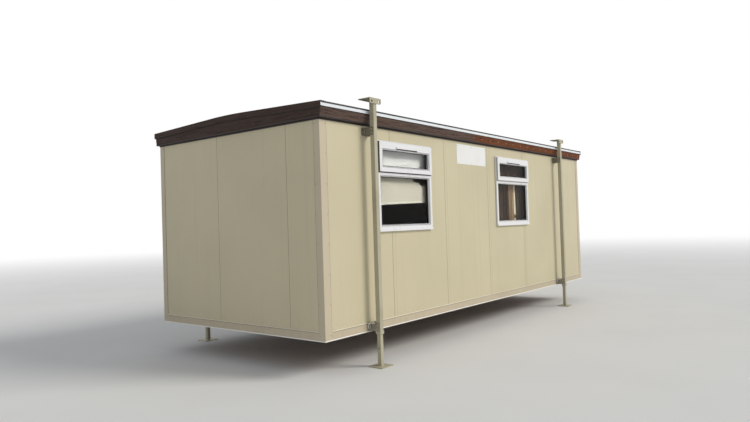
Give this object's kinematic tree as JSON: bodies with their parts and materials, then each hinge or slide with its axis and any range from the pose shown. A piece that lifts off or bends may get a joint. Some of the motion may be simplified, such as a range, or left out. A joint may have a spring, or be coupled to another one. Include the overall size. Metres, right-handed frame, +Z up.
{
  "type": "portable site cabin",
  "caption": "Flat-sided portable cabin of insulated steel wall panels with a low pitched roof, standing on telescopic jack legs with lifting eyes.",
  "frame": {"origin": "on the ground under the middle of the plan", "axes": "+X along the cabin with the windows at the front on -Y, +Z up"},
  "size_m": [7.384, 3.34, 2.99],
  "materials": {
    "wall_steel": "beige plastisol coating, fine grain",
    "trim_steel": "folded and painted, satin",
    "chassis_steel": "black paint",
    "deck_board": "plywood",
    "ceiling_white": "matt white lining board",
    "roof_foam": "insulating core",
    "roof_membrane": "dark grey coated sheet",
    "fascia_brown": "embossed woodgrain foil, satin",
    "trim_white": "white powder coat",
    "window_white": "smooth white window plastic",
    "window_glass": "clear double glazing",
    "door_steel": "flush coated steel",
    "handle_steel": "satin",
    "sign_white": "plain white board",
    "leg_paint": "stone grey paint on steel",
    "bracket_zinc": "dull galvanised",
    "blind_cloth": "cream roller blind cloth",
    "curtain_cloth": "brown woven cloth",
    "rail_white": "white"
  },
  "bodies": {
    "cabin": {"chassis_rails": "chassis_steel", "chassis_crossmembers": "chassis_steel", "floor_deck": "deck_board", "front_wall_panels": "wall_steel", "back_wall_panels": "wall_steel", "left_end_panels": "wall_steel", "right_end_panels": "wall_steel", "corner_trims": "trim_steel", "base_trim": "trim_steel", "ceiling_board": "ceiling_white", "roof_core": "roof_foam", "roof_sheet": "roof_membrane", "side_fascias": "fascia_brown", "end_fascias": "fascia_brown", "eaves_trims": "trim_white", "verge_trims": "fascia_brown", "blind_roller": "rail_white", "window_blind": "blind_cloth", "curtain_rail": "rail_white", "window_curtains": "curtain_cloth", "door_frame": "window_white", "door_leaf": "door_steel", "door_handle": "handle_steel", "sign_plate": "sign_white", "lifting_heads": "leg_paint", "leg_brackets": "bracket_zinc", "window_1_frame": "window_white", "window_1_sash": "window_white", "window_1_glass": "window_glass", "window_2_frame": "window_white", "window_2_sash": "window_white", "window_2_glass": "window_glass", "window_3_frame": "window_white", "window_3_sash": "window_white", "window_3_glass": "window_glass", "leg_tube_front_left": "leg_paint", "leg_tube_front_right": "leg_paint", "leg_tube_back_left": "leg_paint", "leg_tube_back_right": "leg_paint"},
    "foot_front_left": {"inner_leg_front_left": "leg_paint", "foot_plate_front_left": "leg_paint"},
    "foot_front_right": {"inner_leg_front_right": "leg_paint", "foot_plate_front_right": "leg_paint"},
    "foot_back_left": {"inner_leg_back_left": "leg_paint", "foot_plate_back_left": "leg_paint"},
    "foot_back_right": {"inner_leg_back_right": "leg_paint", "foot_plate_back_right": "leg_paint"}
  },
  "joints": [
    {"name": "leg_slide_front_left", "type": "slide", "parent": "cabin", "child": "foot_front_left", "axis": [0, 0, 1], "range_m": [-1, 0.34]},
    {"name": "leg_slide_front_right", "type": "slide", "parent": "cabin", "child": "foot_front_right", "axis": [0, 0, 1], "range_m": [-1, 0.34]},
    {"name": "leg_slide_back_left", "type": "slide", "parent": "cabin", "child": "foot_back_left", "axis": [0, 0, 1], "range_m": [-1, 0.34]},
    {"name": "leg_slide_back_right", "type": "slide", "parent": "cabin", "child": "foot_back_right", "axis": [0, 0, 1], "range_m": [-1, 0.34]}
  ]
}
